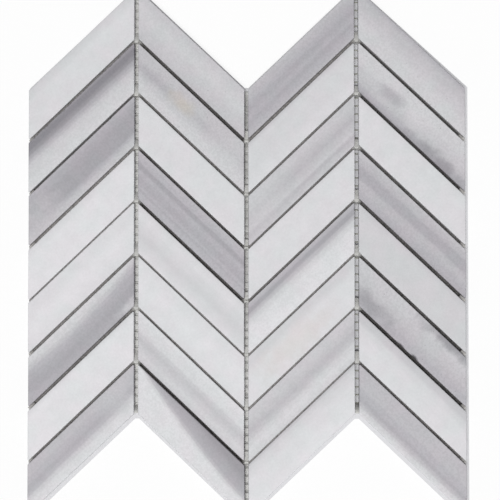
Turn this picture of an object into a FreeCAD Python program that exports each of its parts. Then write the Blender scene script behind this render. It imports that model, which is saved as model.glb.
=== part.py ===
"""Chevron wall tile: a mosaic sheet of sawn marble stones bonded to a glass-fibre net.

The sheet lies face up on its net, as it does on a bench before it is fixed to a wall.
X runs across the columns, Y runs up the sheet towards its peaks, and Z rises out of the
honed faces. The origin is the centre of the footprint, on the plane under the net.
All lengths are in millimetres.
"""

import FreeCAD
import Part
import math
import os

# Stones: strips 25 mm wide and four inches long, with their ends cut upright.
STONE_LENGTH = 101.6
STONE_WIDTH = 25.0
STONE_THICKNESS = 10.0
SLANT_DEG = 43.5
ARRIS = 0.5

# Layout: columns rise and fall by turns, so that the stones meet in chevrons.
COLUMNS = 4
ROWS = 8
UPRIGHT_JOINT = 2.8
SLANT_JOINT = 2.0

# Net: flat yarns in two layers, the upright warp under the level weft.
WARP_PITCH = 5.1
WEFT_PITCH = 5.6
YARN_WIDTH = 1.0
YARN_THICKNESS = 0.3
NET_SETBACK = 1.5

# Adhesive: what has risen from the net, in a low bed along each slanted joint, and nearly to
# the faces where the joints cross and where they end.
BED_HEIGHT = 4.0
DAB_DEPTH = 1.5
DAB_REACH = 2.4
PLUG_DEPTH = 4.0
PLUG_LENGTH = 4.5
ADHESIVE_SETBACK = 0.6
ADHESIVE_CLEARANCE = 0.05
ADHESIVE_CHAMFER = 0.3

# Sizes that follow from the ones above.
SLANT = math.radians(SLANT_DEG)
COLUMN_WIDTH = STONE_LENGTH * math.cos(SLANT)
COLUMN_PITCH = COLUMN_WIDTH + UPRIGHT_JOINT
STONE_RISE = STONE_LENGTH * math.sin(SLANT)
STONE_UPRIGHT = STONE_WIDTH / math.cos(SLANT)
SLANT_JOINT_UPRIGHT = SLANT_JOINT / math.cos(SLANT)
ROW_PITCH = STONE_UPRIGHT + SLANT_JOINT_UPRIGHT
COLUMN_HEIGHT = ROWS * ROW_PITCH - SLANT_JOINT_UPRIGHT
SHEET_WIDTH = COLUMNS * COLUMN_PITCH - UPRIGHT_JOINT
SHEET_HEIGHT = COLUMN_HEIGHT + STONE_RISE
WEFT_BASE = YARN_THICKNESS
STONE_BASE = 2 * YARN_THICKNESS
HALF_GAP = UPRIGHT_JOINT / 2 - ADHESIVE_CLEARANCE
HALF_SLOT = (SLANT_JOINT / 2 - ADHESIVE_CLEARANCE) / math.cos(SLANT)


def is_rising(column):
    """True where a column's stones climb from left to right."""
    return column % 2 == 0


def column_left(column):
    """X of a column's left side."""
    return column * COLUMN_PITCH - SHEET_WIDTH / 2


def column_right(column):
    """X of a column's right side."""
    return column_left(column) + COLUMN_WIDTH


def foot_height(column, x):
    """Y of a column's lower edge at a given X."""
    climb = (x - column_left(column)) * math.tan(SLANT)
    return -SHEET_HEIGHT / 2 + (climb if is_rising(column) else STONE_RISE - climb)


def joint_height(column, row, x):
    """Y of the middle of the slanted joint on top of a row, at a given X."""
    return foot_height(column, x) + (row + 1) * ROW_PITCH - SLANT_JOINT_UPRIGHT / 2


def polygon_face(points, z):
    """A level face with the given corners."""
    corners = [FreeCAD.Vector(x, y, z) for x, y in points]
    return Part.Face(Part.makePolygon(corners + corners[:1]))


def edges_at(solid, z):
    """The edges of a solid that lie in one level plane."""
    return [e for e in solid.Edges if all(abs(v.Z - z) < 1e-6 for v in e.Vertexes)]


def prism(points, top_depth, chamfer):
    """An upright prism on the net, whose chamfered top lies a depth below the stones' faces."""
    height = STONE_THICKNESS - top_depth
    solid = polygon_face(points, STONE_BASE).extrude(FreeCAD.Vector(0, 0, height))
    return solid.makeChamfer(chamfer, edges_at(solid, STONE_BASE + height))


def stone(column, row):
    """One sawn stone: a parallelogram with upright ends and an eased arris round its face."""
    left = column_left(column)
    right = column_right(column)
    low_left = foot_height(column, left) + row * ROW_PITCH
    low_right = foot_height(column, right) + row * ROW_PITCH
    corners = [
        (left, low_left),
        (right, low_right),
        (right, low_right + STONE_UPRIGHT),
        (left, low_left + STONE_UPRIGHT),
    ]
    return prism(corners, 0, ARRIS)


def sheet_outline():
    """Corners of the whole sheet: the zigzag foot, then the zigzag head on the way back."""
    foot = []
    for column in range(COLUMNS):
        for x in (column_left(column), column_right(column)):
            foot.append((x, foot_height(column, x)))
    head = [(x, y + COLUMN_HEIGHT) for x, y in reversed(foot)]
    return foot + head


def centred_places(pitch, span, first):
    """Evenly spaced places either side of zero that stay within a span, from a first one on."""
    side_count = math.floor((span / 2 - first) / pitch)
    right = [first + step * pitch for step in range(side_count + 1)]
    left = [-place for place in reversed(right) if place > 0]
    return left + right


def trimmed_yarns(places, along_x, base):
    """Parallel yarns in one layer, cut off along the outline of the sheet less the setback.

    An end too short to cross another yarn drops out of the net, and is left out.
    """
    cut_line = polygon_face(sheet_outline(), base).makeOffset2D(-NET_SETBACK, join=2)
    layer = cut_line.extrude(FreeCAD.Vector(0, 0, YARN_THICKNESS))
    box = layer.BoundBox
    yarns = []
    for place in places:
        edge = place - YARN_WIDTH / 2
        if along_x:
            size = (box.XLength, YARN_WIDTH, YARN_THICKNESS)
            corner = FreeCAD.Vector(box.XMin, edge, base)
        else:
            size = (YARN_WIDTH, box.YLength, YARN_THICKNESS)
            corner = FreeCAD.Vector(edge, box.YMin, base)
        yarns += Part.makeBox(*size, corner).common(layer).Solids
    shortest = YARN_WIDTH + (WARP_PITCH if along_x else WEFT_PITCH)
    return Part.makeCompound([yarn for yarn in yarns if yarn.BoundBox.DiagonalLength > shortest])


def net_warp():
    """The upright yarns, which the sheet rests on. The middle joint lies between two of them."""
    span = SHEET_WIDTH - 2 * NET_SETBACK - YARN_WIDTH
    return trimmed_yarns(centred_places(WARP_PITCH, span, WARP_PITCH / 2), False, 0)


def net_weft():
    """The level yarns, which cross the warp and carry the backs of the stones."""
    span = SHEET_HEIGHT - 2 * NET_SETBACK - YARN_WIDTH
    return trimmed_yarns(centred_places(WEFT_PITCH, span, 0), True, WEFT_BASE)


def crossing_dab(column, row):
    """Adhesive that fills a crossing of joints and runs a little way along each of them.

    The upright joint is the one on the column's right, and the slanted ones lie on top of
    the row.
    """
    lean = -1 if is_rising(column) else 1
    centre_x = column_right(column) + UPRIGHT_JOINT / 2
    centre_y = joint_height(column, row, column_right(column))
    wall_shift = -lean * ADHESIVE_CLEARANCE * math.tan(SLANT)
    reach_shift = wall_shift + lean * DAB_REACH * math.tan(SLANT)
    half = [
        (HALF_GAP, -HALF_SLOT - DAB_REACH),
        (HALF_GAP, wall_shift - HALF_SLOT),
        (HALF_GAP + DAB_REACH, reach_shift - HALF_SLOT),
        (HALF_GAP + DAB_REACH, reach_shift + HALF_SLOT),
        (HALF_GAP, wall_shift + HALF_SLOT),
        (HALF_GAP, HALF_SLOT + DAB_REACH),
    ]
    mirrored = [(-x, y) for x, y in reversed(half)]
    corners = [(centre_x + x, centre_y + y) for x, y in half + mirrored]
    return prism(corners, DAB_DEPTH, ADHESIVE_CHAMFER)


def end_plug(column, at_head):
    """Adhesive in the head or the foot of the upright joint on a column's right."""
    centre_x = column_right(column) + UPRIGHT_JOINT / 2
    foot = foot_height(column, column_right(column))
    outer = foot + COLUMN_HEIGHT - ADHESIVE_SETBACK if at_head else foot + ADHESIVE_SETBACK
    inner = outer - PLUG_LENGTH if at_head else outer + PLUG_LENGTH
    corners = [
        (centre_x - HALF_GAP, outer),
        (centre_x + HALF_GAP, outer),
        (centre_x + HALF_GAP, inner),
        (centre_x - HALF_GAP, inner),
    ]
    return prism(corners, DAB_DEPTH, ADHESIVE_CHAMFER)


def slot_block(column, row, start, end, top_depth):
    """Adhesive in a slanted joint, from one place across the sheet to another."""
    corners = [
        (start, joint_height(column, row, start) - HALF_SLOT),
        (end, joint_height(column, row, end) - HALF_SLOT),
        (end, joint_height(column, row, end) + HALF_SLOT),
        (start, joint_height(column, row, start) + HALF_SLOT),
    ]
    return prism(corners, top_depth, ADHESIVE_CHAMFER)


def side_plug(column, row, at_right):
    """Adhesive in the end of a slanted joint, where it opens on a side of the sheet."""
    side = column_right(column) if at_right else column_left(column)
    inward = -1 if at_right else 1
    outer = side + inward * ADHESIVE_SETBACK
    return slot_block(column, row, outer, outer + inward * PLUG_LENGTH, PLUG_DEPTH)


def joint_bed(column, row):
    """Adhesive along the bottom of a slanted joint. Its ends run into the dabs or the plugs."""
    under_dab = DAB_REACH / 2
    under_plug = ADHESIVE_SETBACK + PLUG_LENGTH / 2
    start = column_left(column) + (under_plug if column == 0 else under_dab)
    end = column_right(column) - (under_plug if column == COLUMNS - 1 else under_dab)
    return slot_block(column, row, start, end, STONE_THICKNESS - BED_HEIGHT)


def adhesive_zigzag(row):
    """All the adhesive on top of a row: beds, dabs and plugs that have run together."""
    blocks = [joint_bed(column, row) for column in range(COLUMNS)]
    blocks += [crossing_dab(column, row) for column in range(COLUMNS - 1)]
    blocks += [side_plug(0, row, False), side_plug(COLUMNS - 1, row, True)]
    return blocks[0].multiFuse(blocks[1:]).removeSplitter()


def adhesive():
    """A zigzag of adhesive on top of each row but the last, and plugs in the upright joints' ends."""
    made = []
    for row in range(ROWS - 1):
        made += adhesive_zigzag(row).Solids
    for column in range(COLUMNS - 1):
        made += [end_plug(column, at_head) for at_head in (False, True)]
    return Part.makeCompound(made)


def pieces():
    """Every piece of the sheet by name. Columns count from the left and rows from the foot."""
    made = {"net_warp": net_warp(), "net_weft": net_weft(), "adhesive_dabs": adhesive()}
    for column in range(COLUMNS):
        for row in range(ROWS):
            made[f"stone_col{column + 1}_row{row + 1}"] = stone(column, row)
    return made


def main():
    """Builds the pieces and writes one file for each of them."""
    os.makedirs("parts", exist_ok=True)
    for name, shape in pieces().items():
        shape.exportStep(os.path.join("parts", name + ".step"))
    print(f"sheet {SHEET_WIDTH:.1f} x {SHEET_HEIGHT:.1f} x {STONE_BASE + STONE_THICKNESS:.1f} mm")


main()
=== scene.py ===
"""Looks of the chevron wall tile: marble stones on a backing net, in a plain studio.

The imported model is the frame, and its boxes give the place and size of every piece. Lengths
are in millimetres up to the point where a mesh is made, and in metres from there on.
"""

import logging
import math
import random
from collections.abc import Sequence
from dataclasses import dataclass, field
from enum import Enum

import bpy
from mathutils import Matrix, Vector, noise
from mathutils.geometry import delaunay_2d_cdt


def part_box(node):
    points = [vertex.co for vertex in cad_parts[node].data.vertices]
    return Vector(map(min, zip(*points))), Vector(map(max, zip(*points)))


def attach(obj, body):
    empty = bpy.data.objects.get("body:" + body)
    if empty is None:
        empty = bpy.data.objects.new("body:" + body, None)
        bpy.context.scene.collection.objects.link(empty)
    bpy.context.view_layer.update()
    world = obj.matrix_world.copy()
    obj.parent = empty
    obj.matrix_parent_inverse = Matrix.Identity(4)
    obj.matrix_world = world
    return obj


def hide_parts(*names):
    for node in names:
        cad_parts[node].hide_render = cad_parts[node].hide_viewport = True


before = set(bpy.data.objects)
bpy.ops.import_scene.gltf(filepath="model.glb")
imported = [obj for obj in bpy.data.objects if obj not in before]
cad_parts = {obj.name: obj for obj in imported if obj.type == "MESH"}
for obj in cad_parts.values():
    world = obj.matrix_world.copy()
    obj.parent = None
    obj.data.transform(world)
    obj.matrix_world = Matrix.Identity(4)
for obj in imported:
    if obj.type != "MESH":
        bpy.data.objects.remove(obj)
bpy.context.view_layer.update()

LOG = logging.getLogger("chevron_tile")

MM = 0.001
BODY = "root"
COLUMNS = 4
ROWS = 8
SLANT = math.radians(43.5)

# Kind of triangulation that keeps to the inside of an outline.
INSIDE_OUTLINE = 1

# Sockets of the Mix node in its colour form, which share their names with its other forms.
MIX_FACTOR, MIX_A, MIX_B, MIX_RESULT = 0, 6, 7, 2

Point = tuple[float, float, float]
Flat = tuple[float, float]
Faces = list[tuple[int, ...]]
Piece = bpy.types.Object
Tree = bpy.types.NodeTree
Socket = bpy.types.NodeSocket


def linear(hex_colour: str) -> tuple[float, float, float, float]:
    """Turns an sRGB colour into the linear one that shaders take.

    Args:
        hex_colour: Six hex digits, two each for red, green and blue.

    Returns:
        Linear red, green, blue and a full alpha.
    """
    shares = [int(hex_colour[at:at + 2], 16) / 255 for at in (0, 2, 4)]
    red, green, blue = (c / 12.92 if c <= 0.04045 else ((c + 0.055) / 1.055) ** 2.4 for c in shares)
    return red, green, blue, 1.0


def add_node(
    tree: Tree, kind: str, sockets: dict[str | int, object] | None = None, output: str | int = 0,
    **settings: object,
) -> Socket | None:
    """Adds a shader node with its settings, and fills or links its input sockets.

    Args:
        tree: The node tree to add to.
        kind: The node's type, without the words ShaderNode in front.
        sockets: For an input by name or number, its value or the output to link it from.
        output: The output that is wanted, by name or number.
        settings: The node's own properties.

    Returns:
        That output, or None from a node without outputs.
    """
    made = tree.nodes.new("ShaderNode" + kind)
    for name, value in settings.items():
        setattr(made, name, value)
    for key, value in (sockets or {}).items():
        if isinstance(value, Socket):
            tree.links.new(value, made.inputs[key])
        else:
            made.inputs[key].default_value = value
    return made.outputs[output] if made.outputs else None


def passage(value: Socket, span: Flat, ends: tuple[object, object]) -> dict[str, object]:
    """Gives the inputs that take a value's span to two ends, which are values or outputs."""
    return {"Value": value, "From Min": span[0], "From Max": span[1], "To Min": ends[0], "To Max": ends[1]}


def fill_ramp(colour: Socket, stops: Sequence[tuple[float, str]], passing: str = "LINEAR") -> None:
    """Sets the stops of a colour ramp.

    Args:
        colour: The output of a new ramp, which has two stops.
        stops: Places on the ramp and colours in hex digits, in order.
        passing: How one colour passes into the next.
    """
    ramp = colour.node.color_ramp
    ramp.interpolation = passing
    while len(ramp.elements) < len(stops):
        ramp.elements.new(0.5)
    for element, (share, hex_colour) in zip(ramp.elements, stops):
        element.position = share
        element.color = linear(hex_colour)


def empty_material(name: str) -> tuple[bpy.types.Material, Tree]:
    """Makes a material with nothing in its node tree.

    Args:
        name: The material's name.

    Returns:
        The material and its node tree.
    """
    made = bpy.data.materials.new(name)
    made.use_nodes = True
    made.node_tree.nodes.clear()
    return made, made.node_tree


def close_surface(
    tree: Tree, colour: Socket, roughness: float | Socket, ior: float, height: Socket, relief: Flat
) -> None:
    """Ends a material with its shader and a fine relief.

    Args:
        tree: The node tree to add to.
        colour: The colour.
        roughness: The roughness.
        ior: The index of refraction.
        height: Height of the relief, up to 1.
        relief: Strength of the relief, up to 1, and its whole height in mm.
    """
    strength, high = relief
    normal = add_node(tree, "Bump", {"Strength": strength, "Distance": high * MM, "Height": height})
    sockets = {"Base Color": colour, "Roughness": roughness, "IOR": ior, "Normal": normal}
    add_node(tree, "OutputMaterial", {"Surface": add_node(tree, "BsdfPrincipled", sockets)})


def mesh_object(name: str, points: list[Point], faces: Faces) -> Piece:
    """Makes an object from points in millimetres, and links it to the scene.

    Args:
        name: The object's name, also its mesh's.
        points: Corners of the mesh.
        faces: Numbers of the corners of each face.

    Returns:
        The new object.
    """
    mesh = bpy.data.meshes.new(name)
    mesh.from_pydata([(x * MM, y * MM, z * MM) for x, y, z in points], [], faces)
    mesh.validate()
    made = bpy.data.objects.new(name, mesh)
    bpy.context.scene.collection.objects.link(made)
    return made


def walls(first: int, sides: int, rings: int) -> Faces:
    """Gives the faces between closed rings of points, from each ring to the next.

    Args:
        first: Number of the first ring's first point.
        sides: How many points a ring has.
        rings: How many rings there are.

    Returns:
        Numbers of the corners of each face.
    """
    made: Faces = []
    for low in range(first, first + (rings - 1) * sides, sides):
        for at in range(sides):
            after = (at + 1) % sides
            made.append((low + at, low + after, low + sides + after, low + sides + at))
    return made


@dataclass
class Tubes:
    """Closed tubes that make up one mesh.

    Attributes:
        points: Corners of the mesh, in mm.
        faces: Numbers of the corners of each face.
    """

    points: list[Point] = field(default_factory=list)
    faces: Faces = field(default_factory=list)

    def add(self, sections: Sequence[Sequence[Point]]) -> None:
        """Adds a tube through a row of sections, closed at both ends.

        Args:
            sections: Corners of each section, in the same order round the tube.
        """
        first = len(self.points)
        sides = len(sections[0])
        for section in sections:
            self.points += section
        last = len(self.points) - sides
        self.faces += walls(first, sides, len(sections))
        self.faces.append(tuple(reversed(range(first, first + sides))))
        self.faces.append(tuple(range(last, last + sides)))


def settle(piece: Piece, node: str) -> None:
    """Hands a piece to the frame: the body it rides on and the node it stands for.

    Args:
        piece: The finished piece.
        node: The CAD node that it replaces, alone or with other pieces.
    """
    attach(piece, BODY)
    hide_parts(node)
    LOG.info("%s: %d faces", piece.name, len(piece.data.polygons))


class Tone(Enum):
    """Tones of the marble, from its white ground to the smoke in its darkest bands, and a painted shade for
    deep chips.
    """

    SNOW = "dbdbdd"
    WHITE = "d6d6d8"
    MILK = "d0d0d2"
    CHALK = "cacacc"
    PALE = "c3c2c5"
    MIST = "bcbbbe"
    PEARL = "b5b3b7"
    DOVE = "aeacb1"
    ASH = "a6a4a9"
    SLATE = "9e9ca1"
    SMOKE = "8d8b90"
    INK = "7d7b81"
    # Painted shade in deep chips on an edge, not a tone of the marble.
    CHIP_SHADE = "4b494d"
    BEIGE = "c4bcb0"
    ROSE = "d6d0cf"


class Wear(Enum):
    """How an edge came off the saw: chips for each 100 mm, and the deepest of them in mm."""

    CRISP = (7, 0.25)
    NICKED = (16, 0.5)
    CHIPPED = (42, 0.8)


@dataclass(frozen=True)
class Cloud:
    """A soft patch of one tone on a stone's face.

    Attributes:
        along: Middle of the patch along the stone, in mm from the stone's centre.
        across: Middle of the patch across the stone, in mm from the stone's centre.
        length: Half its length, in mm.
        breadth: Half its breadth, in mm.
        tone: Its tone.
        strength: How much of the ground it covers, up to 1.
    """

    along: float
    across: float
    length: float
    breadth: float
    tone: Tone
    strength: float


@dataclass(frozen=True)
class Figure:
    """What nature drew on one stone, and what the saw left of its long edges.

    Attributes:
        bands: Tones across the stone, each at a share of its width from the lower edge. Near the
            edges they are partly painted shade of the eased edge.
        clouds: Soft patches over the bands.
        drift: How far the bands fall, in mm across for each mm along.
        bow: How far the bands bend down towards the stone's ends, in mm.
        ripple: How far the bands wander, in mm.
        streaks: Strength of the hair lines along the bands, up to 1.
        specks: Strength of the mica specks, up to 1.
        grain: Strength of the sugary grain, up to 1.
        upper: Wear of the upper edge.
        lower: Wear of the lower edge.
        breaks: Large chips on the lower edge: place along it, half width and depth, in mm.
    """

    bands: tuple[tuple[float, Tone], ...]
    clouds: tuple[Cloud, ...] = ()
    drift: float = 0.0
    bow: float = 0.0
    ripple: float = 0.8
    streaks: float = 0.2
    specks: float = 0.0
    grain: float = 0.2
    upper: Wear = Wear.CRISP
    lower: Wear = Wear.CRISP
    breaks: tuple[Point, ...] = ()


# Figures of the stones, column by column from the left, and in each from the head down.
# Tones next to a stone's edges are partly the marble's own and partly painted shade of the eased edge.
FIGURES: tuple[tuple[Figure, ...], ...] = (
    (
        Figure(((0.0, Tone.WHITE), (0.7, Tone.WHITE), (0.85, Tone.MILK), (1.0, Tone.CHALK))),
        Figure(
            ((0.0, Tone.MILK), (0.36, Tone.CHALK), (0.49, Tone.PALE), (0.57, Tone.PEARL), (0.64, Tone.ASH),
             (0.74, Tone.SMOKE), (0.84, Tone.INK), (0.92, Tone.INK), (1.0, Tone.SMOKE)),
            drift=0.02, ripple=0.6, streaks=0.6, grain=0.5, upper=Wear.CHIPPED,
        ),
        Figure(
            ((0.0, Tone.PALE), (0.12, Tone.MIST), (0.22, Tone.DOVE), (0.33, Tone.SLATE), (0.65, Tone.SLATE),
             (0.85, Tone.ASH), (1.0, Tone.DOVE)),
            (Cloud(-46, -3, 26, 18, Tone.MIST, 0.7),),
            ripple=1.5, streaks=0.5, grain=0.7, upper=Wear.NICKED,
        ),
        Figure(
            ((0.0, Tone.SNOW), (0.75, Tone.SNOW), (0.9, Tone.WHITE), (1.0, Tone.MILK)),
            upper=Wear.NICKED,
        ),
        Figure(
            ((0.0, Tone.WHITE), (0.5, Tone.SNOW), (0.85, Tone.WHITE), (1.0, Tone.WHITE)),
            upper=Wear.NICKED,
        ),
        Figure(
            ((0.0, Tone.ASH), (0.25, Tone.SLATE), (0.5, Tone.ASH), (0.62, Tone.DOVE), (0.72, Tone.MIST),
             (0.82, Tone.CHALK), (1.0, Tone.MILK)),
            (Cloud(36, -10, 12, 4, Tone.PALE, 0.8),),
            drift=-0.01, bow=-3.0, ripple=2.2, streaks=0.7, grain=0.7, upper=Wear.NICKED,
        ),
        Figure(((0.0, Tone.SNOW), (0.85, Tone.SNOW), (1.0, Tone.MILK)), upper=Wear.NICKED),
        Figure(
            ((0.0, Tone.WHITE), (0.2, Tone.MILK), (0.32, Tone.PALE), (0.42, Tone.DOVE), (0.52, Tone.ASH),
             (0.68, Tone.DOVE), (0.85, Tone.PEARL), (1.0, Tone.PEARL)),
            (Cloud(40, 5, 22, 12, Tone.PALE, 0.5),),
            drift=-0.015, streaks=0.6, grain=0.5, upper=Wear.NICKED,
        ),
    ),
    (
        Figure(
            ((0.0, Tone.MIST), (0.25, Tone.PALE), (0.6, Tone.CHALK), (1.0, Tone.PALE)),
            specks=0.3, grain=0.45,
        ),
        Figure(
            ((0.0, Tone.CHALK), (0.2, Tone.CHALK), (0.35, Tone.PALE), (0.45, Tone.MIST), (0.55, Tone.PEARL),
             (0.62, Tone.PEARL), (0.75, Tone.MIST), (1.0, Tone.MIST)),
            (Cloud(-38, 2, 20, 5, Tone.ASH, 0.6), Cloud(-11, 3, 14, 6, Tone.BEIGE, 0.6),
             Cloud(38, -2, 26, 14, Tone.CHALK, 0.5)),
            streaks=0.5, specks=0.5, grain=0.8,
        ),
        Figure(((0.0, Tone.WHITE), (0.9, Tone.WHITE), (1.0, Tone.MILK))),
        Figure(
            ((0.0, Tone.DOVE), (0.15, Tone.DOVE), (0.21, Tone.ASH), (0.27, Tone.DOVE), (0.33, Tone.ASH),
             (0.42, Tone.ASH), (0.58, Tone.DOVE), (0.68, Tone.SLATE), (0.73, Tone.SLATE), (0.8, Tone.DOVE),
             (1.0, Tone.PEARL)),
            ripple=0.6, streaks=1.0, specks=0.3, grain=1.0,
        ),
        Figure(
            ((0.0, Tone.WHITE), (0.2, Tone.MILK), (0.4, Tone.CHALK), (0.6, Tone.MILK), (0.8, Tone.WHITE),
             (1.0, Tone.MILK)),
        ),
        Figure(((0.0, Tone.WHITE), (0.5, Tone.SNOW), (1.0, Tone.WHITE))),
        Figure(
            ((0.0, Tone.PALE), (0.18, Tone.CHALK), (0.3, Tone.PALE), (0.45, Tone.MIST), (0.55, Tone.PALE),
             (0.66, Tone.MILK), (1.0, Tone.WHITE)),
            streaks=0.5, grain=0.5,
        ),
        Figure(
            ((0.0, Tone.WHITE), (0.43, Tone.WHITE), (0.51, Tone.CHALK), (0.57, Tone.PEARL),
             (0.65, Tone.ASH), (0.8, Tone.SLATE), (1.0, Tone.SMOKE)),
            drift=0.16, bow=-2.4, ripple=1.6, streaks=0.5, grain=0.5,
        ),
    ),
    (
        Figure(
            ((0.0, Tone.PEARL), (0.15, Tone.DOVE), (0.3, Tone.ASH), (0.42, Tone.DOVE), (0.58, Tone.ASH),
             (0.7, Tone.DOVE), (0.85, Tone.PEARL), (1.0, Tone.MIST)),
            streaks=0.6, grain=0.7,
        ),
        Figure(((0.0, Tone.WHITE), (0.5, Tone.MILK), (0.85, Tone.MILK), (1.0, Tone.PALE))),
        Figure(
            ((0.0, Tone.PALE), (0.1, Tone.MIST), (0.18, Tone.PEARL), (0.28, Tone.PALE), (0.42, Tone.MIST),
             (0.55, Tone.PEARL), (0.72, Tone.MIST), (0.85, Tone.PALE), (1.0, Tone.PALE)),
            (Cloud(-38, 2, 28, 15, Tone.CHALK, 0.5),),
            ripple=0.5, streaks=0.8, grain=0.5,
        ),
        Figure(((0.0, Tone.WHITE), (0.88, Tone.WHITE), (1.0, Tone.MILK))),
        Figure(
            ((0.0, Tone.SNOW), (0.46, Tone.WHITE), (0.63, Tone.CHALK), (0.73, Tone.PEARL),
             (0.81, Tone.SLATE), (0.87, Tone.SLATE), (0.93, Tone.DOVE), (1.0, Tone.PEARL)),
            ripple=0.9, streaks=0.6, grain=0.4,
        ),
        Figure(
            ((0.0, Tone.WHITE), (0.6, Tone.WHITE), (0.9, Tone.CHALK), (1.0, Tone.CHALK)),
            (Cloud(-8, -2, 40, 12, Tone.ROSE, 0.7),),
        ),
        Figure(
            ((0.0, Tone.CHALK), (0.2, Tone.MILK), (0.32, Tone.CHALK), (0.45, Tone.MIST), (0.55, Tone.PEARL),
             (0.7, Tone.MIST), (0.85, Tone.PALE), (1.0, Tone.PALE)),
            ripple=1.2, streaks=0.5, grain=0.5,
        ),
        Figure(
            ((0.0, Tone.SNOW), (0.6, Tone.WHITE), (0.8, Tone.MILK), (0.92, Tone.CHALK), (1.0, Tone.MIST)),
        ),
    ),
    (
        Figure(
            ((0.0, Tone.CHALK), (0.3, Tone.CHALK), (0.55, Tone.PALE), (0.8, Tone.MIST), (1.0, Tone.DOVE)),
            specks=0.4, grain=0.6,
        ),
        Figure(
            ((0.0, Tone.SLATE), (0.12, Tone.DOVE), (0.25, Tone.MIST), (0.5, Tone.PALE), (0.75, Tone.CHALK),
             (1.0, Tone.CHALK)),
            (Cloud(3, 3, 16, 10, Tone.MILK, 0.6), Cloud(-21, 1, 13, 6, Tone.SLATE, 0.6),
             Cloud(36, -10, 32, 6, Tone.SMOKE, 0.8)),
            ripple=1.5, specks=0.7, grain=0.7,
        ),
        Figure(((0.0, Tone.WHITE), (0.8, Tone.WHITE), (1.0, Tone.MILK))),
        Figure(
            ((0.0, Tone.ASH), (0.15, Tone.DOVE), (0.3, Tone.PEARL), (0.4, Tone.PEARL), (0.5, Tone.ASH),
             (0.68, Tone.ASH), (0.8, Tone.PEARL), (1.0, Tone.MIST)),
            drift=-0.02, ripple=1.2, streaks=0.7, grain=0.8,
        ),
        Figure(((0.0, Tone.CHALK), (0.8, Tone.CHALK), (1.0, Tone.PALE))),
        Figure(
            ((0.0, Tone.DOVE), (0.15, Tone.DOVE), (0.3, Tone.PEARL), (0.5, Tone.MIST), (0.8, Tone.PALE),
             (1.0, Tone.PALE)),
            (Cloud(-32, -6, 28, 7, Tone.SMOKE, 0.7), Cloud(27, 13, 38, 8, Tone.INK, 0.75),
             # Painted shade in the chips that the breaks cut into the lower edge.
             Cloud(0, -12.4, 4, 1.5, Tone.CHIP_SHADE, 0.8), Cloud(13, -12.2, 4, 1.8, Tone.CHIP_SHADE, 0.9)),
            ripple=1.5, specks=0.7, grain=0.8, breaks=((1, 3, 1.2), (14, 4, 1.3)),
        ),
        Figure(
            ((0.0, Tone.WHITE), (0.5, Tone.WHITE), (0.7, Tone.MILK), (0.85, Tone.PALE), (1.0, Tone.MIST)),
        ),
        Figure(
            ((0.0, Tone.WHITE), (0.12, Tone.CHALK), (0.22, Tone.PEARL), (0.32, Tone.ASH), (0.42, Tone.DOVE),
             (0.52, Tone.DOVE), (0.62, Tone.PEARL), (0.75, Tone.PEARL), (1.0, Tone.PEARL)),
            streaks=0.8, grain=0.8,
        ),
    ),
)


@dataclass(frozen=True)
class SlantJoint:
    """A slanted joint as it was laid.

    Attributes:
        gap: Its width, in mm.
        bed: Height of the adhesive in it above the net, in mm.
    """

    gap: float
    bed: float


# Slanted joints, column by column from the left, and in each from the head down.
JOINTS: tuple[tuple[SlantJoint, ...], ...] = (
    (
        SlantJoint(1.6, 4.8), SlantJoint(1.5, 2.5), SlantJoint(1.9, 5.2), SlantJoint(1.1, 6.7),
        SlantJoint(1.9, 4.5), SlantJoint(2.1, 3.6), SlantJoint(1.7, 4.0),
    ),
    (
        SlantJoint(2.2, 2.0), SlantJoint(1.9, 4.8), SlantJoint(1.7, 3.0), SlantJoint(2.2, 2.4),
        SlantJoint(1.5, 7.0), SlantJoint(1.4, 6.4), SlantJoint(2.4, 2.4),
    ),
    (
        SlantJoint(2.0, 4.5), SlantJoint(1.5, 4.5), SlantJoint(1.5, 4.5), SlantJoint(1.7, 4.0),
        SlantJoint(1.3, 6.7), SlantJoint(1.2, 7.6), SlantJoint(1.1, 8.2),
    ),
    (
        SlantJoint(2.2, 1.0), SlantJoint(2.4, 0.7), SlantJoint(2.3, 2.0), SlantJoint(2.3, 2.0),
        SlantJoint(2.2, 1.8), SlantJoint(2.3, 1.2), SlantJoint(1.9, 4.0),
    ),
)


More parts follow.
